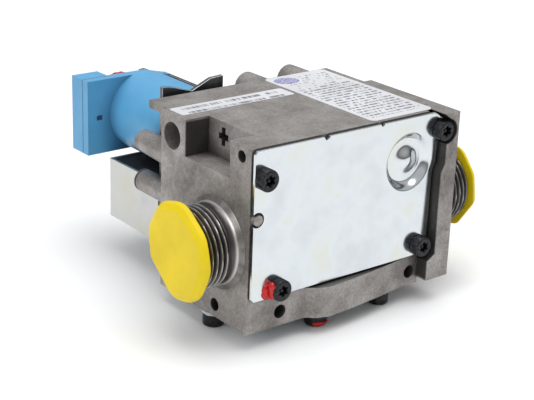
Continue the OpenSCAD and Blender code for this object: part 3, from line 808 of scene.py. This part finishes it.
def film_finish(name, low, high, rows, dash, sparse=0.40):
    """White film with grey dashed rows. Row number and place along it pick each dash by white noise, and
    sparse is the share of dashes left out of the rear quarter."""
    f = Finish(name, 0.36)
    span = [1 / (high[k] - low[k]) for k in (0, 1)]
    flat = f.add("ShaderNodeMapping", {"Vector": f.place, "Location": (-low[0] * span[0], -low[1] * span[1], 0),
        "Scale": (span[0], span[1], 1)})
    split = f.add("ShaderNodeSeparateXYZ", {"Vector": flat.outputs["Vector"]})
    across, along = split.outputs["X"], split.outputs["Y"]
    row = f.sum(along, rows, "MULTIPLY")
    number = f.sum(row, 0.0, "FLOOR")
    inside = f.sum(f.sum(row, 0.0, "FRACT"), 0.48, "LESS_THAN")
    step = f.sum(f.sum(across, dash, "MULTIPLY"), 0.0, "FLOOR")
    pick = f.add("ShaderNodeCombineXYZ", {"X": step, "Y": number})
    chance = f.add("ShaderNodeTexWhiteNoise", {"Vector": pick.outputs["Vector"]}).outputs["Value"]
    gaps = f.span(along, 0.36, sparse, 0.70, 0.72)
    inked = f.sum(f.sum(chance, gaps, "GREATER_THAN"), inside, "MULTIPLY")
    margin = f.sum(f.sum(f.sum(across, 0.07, "GREATER_THAN"), f.sum(across, 0.93, "LESS_THAN"), "MULTIPLY"),
        f.sum(f.sum(along, 0.05, "GREATER_THAN"), f.sum(along, 0.95, "LESS_THAN"), "MULTIPLY"), "MULTIPLY")
    ink = f.sum(f.sum(inked, margin, "MULTIPLY"), 0.8, "MULTIPLY")
    film = f.shades(f.clouds(16 * mm), (0.3, (0.58, 0.58, 0.60)), (0.7, (0.68, 0.68, 0.70)))
    return f, f.mixed(ink, film, (0.10, 0.10, 0.13, 1)), flat.outputs["Vector"]


low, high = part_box("rating_label")
f, printed, flat = film_finish("rating_film", low, high, 25, 58, 0.78)
emblem = f.add("ShaderNodeMapping", {"Vector": flat, "Location": (-0.22, -0.90, 0)})
ring = f.add("ShaderNodeVectorMath", {0: emblem.outputs["Vector"], 1: (5.2, 14.0, 0)}, operation="MULTIPLY")
reach_of_ring = f.add("ShaderNodeVectorMath", {0: ring.outputs["Vector"]}, operation="LENGTH").outputs["Value"]
disc = f.sum(reach_of_ring, 0.95, "LESS_THAN")
blank = f.sum(reach_of_ring, 1.15, "LESS_THAN")
weave = f.clouds(0.9 * mm, 2)
inked_disc = f.sum(disc, f.span(weave, 0.25, 0.9, 0.35, 0.6), "MULTIPLY")
f.colour(f.mixed(inked_disc, f.mixed(blank, printed, (0.66, 0.66, 0.68, 1)), (0.11, 0.10, 0.36, 1)))
rating = piece("rating_label_film", *film_surface(low, high, 2 * mm), f.material, "valve", "rating_label",
    "label", 30)

low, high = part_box("serial_label")
f, printed, flat = film_finish("serial_film", low, high, 1.9, 120)
f.colour(printed)
serial = piece("serial_label_film", *film_surface(low, high, 1 * mm), f.material, "valve", "serial_label",
    "label", 30)
print("labels:", rating.name, serial.name)

# %% [markdown]
# ## The bracket and the coils
# The bracket is bent from zinc-plated sheet that has dulled to grey, with bright cut edges. The safety
# coil is a blue moulding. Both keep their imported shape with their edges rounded, so their holes still
# meet the parts behind them.

# %% Bracket and blue coil
def dull_zinc_finish():
    """Plated sheet that has dulled to a dark grey with a few cloudy stains."""
    f = Finish("dull_zinc", 0.34, 0.9)
    stains = f.clouds(7 * mm, 4)
    grey = f.shades(stains, (0.3, (0.055, 0.062, 0.065)), (0.7, (0.15, 0.16, 0.165)))
    f.colour(grey)
    f.gloss(f.span(stains, 0.28, 0.45))
    f.relief(f.clouds(0.8 * mm), 0.02 * mm, 0.4)
    return f.material


dull_zinc = dull_zinc_finish()
bracket = rounded("bent_coil_bracket", merged_copy("coil_bracket"), dull_zinc, "valve", "coil_bracket",
    0.3, edge_finish=bright_edge)
coil = rounded("blue_coil_moulding", merged_copy("safety_coil"), blue, "valve", "safety_coil",
    0.7, 3, 50)
print("bracket and coil:", len(bracket.data.polygons), len(coil.data.polygons), "faces before bevels")

# %% [markdown]
# ## The two push-on caps
# A red cap locks the safety coil on its tube, and a black one keeps dust off the modulating valve's
# adjuster. Both are turned shapes with finger ribs: the radius dips many times in one turn.

# %% Ribbed caps
def ribbed_cap(name, node, body, finish, slot, ribs, inner):
    """A hollow cap open towards the valve, with a hole of radius inner.
    Outer radius = edge - rib_depth (1 + cos(ribs angle))."""
    low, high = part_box(node)
    centre = ((low.x + high.x) / 2, 0, (low.z + high.z) / 2)
    edge, length = (high.x - low.x) / 2, high.y - low.y
    wall, rib_depth = 1.3 * mm, 0.22 * mm
    along = np.array([0.0, 0.25 * mm, 1.0 * mm, length - 1.6 * mm, length - 0.8 * mm, length - 0.25 * mm, length,
        length, length - 0.35 * mm, length - 0.35 * mm, length - wall, length - wall, 0.3 * mm, 0.0])
    radius = np.array([edge - 0.3 * mm, edge, edge, edge, edge - 0.2 * mm, edge - 0.7 * mm, edge - 1.3 * mm,
        edge - 3.0 * mm, edge - 3.4 * mm, 0, 0, inner, inner, inner + 0.3 * mm])
    share = np.array([0.4, 1, 1, 1, 0.5, 0, 0, 0, 0, 0, 0, 0, 0, 0])[:, None]
    columns = 6 * ribs
    angle = np.linspace(0, 2 * np.pi, columns, endpoint=False)[None, :]
    radii = radius[:, None] - share * rib_depth * (1 + np.cos(ribs * angle))
    points = turned("y", centre, along[:, None] + low.y, radii)
    faces = np.concatenate([ring_faces(10, columns), ring_faces(4, columns) + 10 * columns,
        [[13 * columns + k, 13 * columns + (k + 1) % columns, (k + 1) % columns, k] for k in range(columns)]])
    return piece(name, points, faces, finish, body, node, slot, 32)


coil_cap = ribbed_cap("red_coil_cap", "coil_cap", "coil_lock", red, "red_plastic", 24, 6.15 * mm)
dust_cap = ribbed_cap("modulator_dust_cap", "modulator_cap", "dust_cap", black_plastic, "black_plastic", 20,
    4.95 * mm)
print("caps:", coil_cap.name, dust_cap.name)

# %% [markdown]
# ## The modulating coil
# The lower coil is a black moulding in a bent frame of clean zinc plate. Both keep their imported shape
# with rounded edges.

# %% Modulating coil
light_zinc = zinc_finish("light_zinc", (0.60, 0.60, 0.585), 0.34)
frame_steel = rounded("modulator_coil_frame", merged_copy("modulator_frame"), light_zinc, "valve", "modulator_frame",
    0.3)
black_coil = rounded("modulator_coil_moulding", merged_copy("modulator_coil"), black_plastic, "valve",
    "modulator_coil", 0.5)
print("modulating coil:", frame_steel.name, black_coil.name)

# %% [markdown]
# ## Brass test screws
# The sealing screws of the test nipples are slotted brass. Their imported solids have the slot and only
# need rounded edges.

# %% Test screws
for node, body in (("inlet_test_screw", "inlet_screw"), ("outlet_test_screw", "outlet_screw")):
    rounded(node.replace("test", "slotted"), merged_copy(node), brass, body, node, 0.2)
print("test screws rounded")

# %% [markdown]
# ## Finishes for the parts inside
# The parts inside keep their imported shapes: they are turned or moulded rounds whose true surfaces are
# already right. Each one gets its finish here.

# %% Inner parts
spring_steel = turned_finish("spring_steel", (0.50, 0.50, 0.52), (0.34, 0.34, 0.36), 2)
tin_plate = zinc_finish("tin_plate", (0.80, 0.79, 0.76))
inner = {
    rubber: ("front_gasket", "bottom_gasket", "safety_o_ring", "modulator_o_ring", "safety_disc", "pilot_disc",
        "main_valve_disc", "main_diaphragm"),
    zinc: ("bottom_cover", "diaphragm_plate"),
    stainless: ("inlet_strainer", "safety_tube", "safety_core", "safety_plunger", "modulator_tube",
        "modulator_plunger", "main_valve"),
    brass: ("safety_seat", "pilot_seat", "main_seat", "modulator_adjuster"),
    copper: ("safety_winding", "modulator_winding"),
    tin_plate: ("safety_terminals", "modulator_terminals"),
    spring_steel: ("safety_spring", "modulator_spring", "main_spring"),
}
for finish, names in inner.items():
    for name in names:
        nodes[name].data.materials.clear()
        nodes[name].data.materials.append(finish)
print(sum(len(names) for names in inner.values()), "inner parts finished")

# %% [markdown]
# ## Size
# Both boxes, the imported model's and the scene's, are printed side by side before the scene is closed.
# Nothing above may outgrow the imported model by more than a trace.

# %% Sizes and finish
low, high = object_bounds()
print("packed", [round(c, 4) for c in (*cad_low, *cad_high)])
print("visual", [round(c, 4) for c in (*low, *high)])
